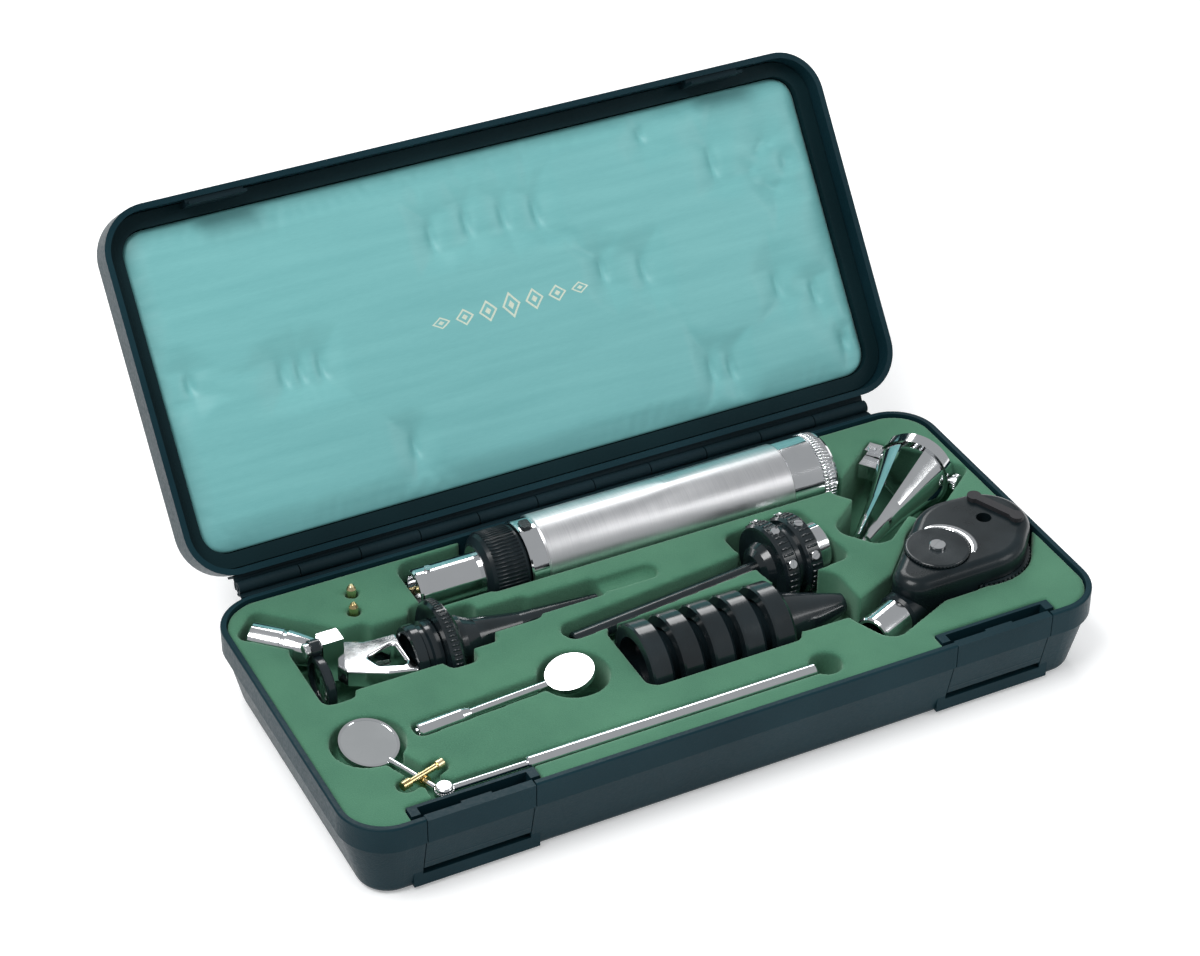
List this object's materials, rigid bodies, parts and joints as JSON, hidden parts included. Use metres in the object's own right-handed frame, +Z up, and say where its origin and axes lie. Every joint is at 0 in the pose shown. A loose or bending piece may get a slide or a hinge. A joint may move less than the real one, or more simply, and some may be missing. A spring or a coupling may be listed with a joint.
{
  "type": "cased otoscope set",
  "caption": "Hinged case with satin-lined lid and flocked tray holding an otoscope, battery handle, specula, mirrors, nasal speculum, illuminator and ophthalmoscope.",
  "frame": {"origin": "centre of the case's underside", "axes": "+X along the case's length, +Y towards the lid's hinge, +Z up"},
  "size_m": [0.265, 0.2158, 0.1344],
  "materials": {
    "case_shell": "semi-gloss grained navy",
    "hinge": "satin dark paint",
    "flock": "flocked green",
    "satin": "satin weave, turquoise",
    "satin_tube": "satin",
    "chrome": "polished",
    "brass": "polished",
    "black_plastic": "gloss black",
    "rubber": "matt",
    "glass": "clear",
    "mirror": "silvered"
  },
  "bodies": {
    "case": {"case_base": "case_shell", "tray": "flock", "hinge_base_leaf": "hinge", "hinge_pin": "hinge", "latch_pins": "hinge"},
    "lid": {"case_lid": "case_shell", "hinge_lid_leaf": "hinge", "lid_lining": "satin", "lining_frame": "case_shell", "latch_strikers": "hinge"},
    "latch_left_body": {"latch_left": "case_shell"},
    "latch_right_body": {"latch_right": "case_shell"},
    "handle": {"handle_neck": "chrome", "contact_insulator": "black_plastic", "contact_pin": "brass", "handle_front_ring": "chrome", "handle_tube": "satin_tube", "battery_cells": "chrome"},
    "rheostat": {"rheostat_ring": "black_plastic"},
    "button": {"lock_button": "black_plastic"},
    "cap": {"end_cap": "chrome", "cap_spring": "chrome"},
    "otoscope": {"otoscope_frame": "chrome", "otoscope_socket": "chrome", "speculum_ring": "black_plastic", "otoscope_lamp": "glass", "lens_pivot_screw": "chrome"},
    "lens": {"lens_rim": "black_plastic", "viewing_lens": "glass"},
    "large_speculum": {"fitted_speculum": "black_plastic"},
    "illuminator": {"illuminator_tube": "black_plastic", "illuminator_head": "black_plastic", "illuminator_socket": "chrome", "illuminator_screws": "chrome"},
    "specula_nest": {"ear_speculum_1": "black_plastic", "ear_speculum_2": "black_plastic", "ear_speculum_3": "black_plastic", "ear_speculum_4": "black_plastic", "ear_speculum_5": "black_plastic"},
    "throat_mirror": {"throat_mirror_rod": "chrome", "mirror_clamp": "chrome"},
    "throat_mirror_head": {"mirror_frame": "chrome", "mirror_glass": "mirror", "clamp_screw": "brass"},
    "small_mirror": {"small_mirror_ferrule": "chrome", "small_mirror_stem": "chrome", "small_mirror_frame": "chrome", "small_mirror_glass": "mirror"},
    "nasal_speculum": {"nasal_fixed_blade": "chrome", "nasal_pivot_pin": "chrome"},
    "nasal_blade": {"nasal_moving_blade": "chrome"},
    "nasal_screw": {"nasal_thumbscrew": "chrome"},
    "ophthalmoscope": {"ophthalmoscope_back": "black_plastic", "ophthalmoscope_front": "black_plastic", "ophthalmoscope_socket": "chrome", "dial_screw": "chrome", "brow_rest": "rubber"},
    "wheel": {"lens_wheel": "black_plastic"},
    "dial": {"aperture_dial": "black_plastic"},
    "bulbs": {"spare_bulbs": "brass"}
  },
  "joints": [
    {"name": "lid_hinge", "type": "hinge", "parent": "case", "child": "lid", "pos_m": [0, 0.0661, 0.0317], "axis": [-1, 0, 0], "range_deg": [-126.9, 0]},
    {"name": "latch_left_hinge", "type": "hinge", "parent": "case", "child": "latch_left_body", "pos_m": [-0.092, -0.05671, 0.0115], "axis": [1, 0, 0], "range_deg": [0, 22], "stiffness_Nm_per_rad": 0.02},
    {"name": "latch_right_hinge", "type": "hinge", "parent": "case", "child": "latch_right_body", "pos_m": [0.092, -0.05671, 0.0115], "axis": [1, 0, 0], "range_deg": [0, 22], "stiffness_Nm_per_rad": 0.02},
    {"name": "handle_lift", "type": "slide", "parent": "case", "child": "handle", "axis": [0, 0, 1], "range_m": [0, 0.07]},
    {"name": "rheostat_turn", "type": "hinge", "parent": "handle", "child": "rheostat", "pos_m": [-0.0375, 0.0446, 0.0275], "axis": [1, 0, 0], "range_deg": [0, 110]},
    {"name": "button_press", "type": "slide", "parent": "handle", "child": "button", "axis": [0, 0, -1], "range_m": [0, 0.0008], "stiffness_N_per_m": 200},
    {"name": "cap_unscrew", "type": "hinge", "parent": "handle", "child": "cap", "pos_m": [0.077, 0.0446, 0.0275], "axis": [1, 0, 0], "continuous": true},
    {"name": "otoscope_lift", "type": "slide", "parent": "case", "child": "otoscope", "axis": [0, 0, 1], "range_m": [0, 0.07]},
    {"name": "lens_swing", "type": "hinge", "parent": "otoscope", "child": "lens", "pos_m": [-0.1105, 0.0238, 0.034], "axis": [-1, 0, 0], "range_deg": [0, 95]},
    {"name": "speculum_twist", "type": "hinge", "parent": "otoscope", "child": "large_speculum", "pos_m": [-0.069, 0.0178, 0.024], "axis": [1, 0, 0], "range_deg": [0, 30]},
    {"name": "illuminator_lift", "type": "slide", "parent": "case", "child": "illuminator", "axis": [0, 0, 1], "range_m": [0, 0.07]},
    {"name": "specula_lift", "type": "slide", "parent": "case", "child": "specula_nest", "axis": [0, 0, 1], "range_m": [0, 0.07]},
    {"name": "throat_mirror_lift", "type": "slide", "parent": "case", "child": "throat_mirror", "axis": [0, 0, 1], "range_m": [0, 0.07]},
    {"name": "throat_mirror_swivel", "type": "hinge", "parent": "throat_mirror", "child": "throat_mirror_head", "pos_m": [-0.099, -0.05, 0.0288], "axis": [1, 0, 0], "range_deg": [0, 80]},
    {"name": "small_mirror_lift", "type": "slide", "parent": "case", "child": "small_mirror", "axis": [0, 0, 1], "range_m": [0, 0.07]},
    {"name": "nasal_lift", "type": "slide", "parent": "case", "child": "nasal_speculum", "axis": [0, 0, 1], "range_m": [0, 0.07]},
    {"name": "nasal_spread", "type": "hinge", "parent": "nasal_speculum", "child": "nasal_blade", "pos_m": [0.10681, 0.04536, 0.025], "axis": [0, 0, 1], "range_deg": [-6, 0]},
    {"name": "nasal_screw_turn", "type": "hinge", "parent": "nasal_speculum", "child": "nasal_screw", "pos_m": [0.12516, 0.021, 0.025], "axis": [0.6018, -0.7986, 0], "continuous": true},
    {"name": "ophthalmoscope_lift", "type": "slide", "parent": "case", "child": "ophthalmoscope", "axis": [0, 0, 1], "range_m": [0, 0.07]},
    {"name": "lens_wheel_turn", "type": "hinge", "parent": "ophthalmoscope", "child": "wheel", "pos_m": [0.10579, -0.01779, 0.028], "axis": [0, 0, 1], "continuous": true},
    {"name": "dial_turn", "type": "hinge", "parent": "ophthalmoscope", "child": "dial", "pos_m": [0.09001, -0.02286, 0.0374], "axis": [0, 0, 1], "continuous": true},
    {"name": "bulbs_lift", "type": "slide", "parent": "case", "child": "bulbs", "axis": [0, 0, 1], "range_m": [0, 0.05]}
  ]
}
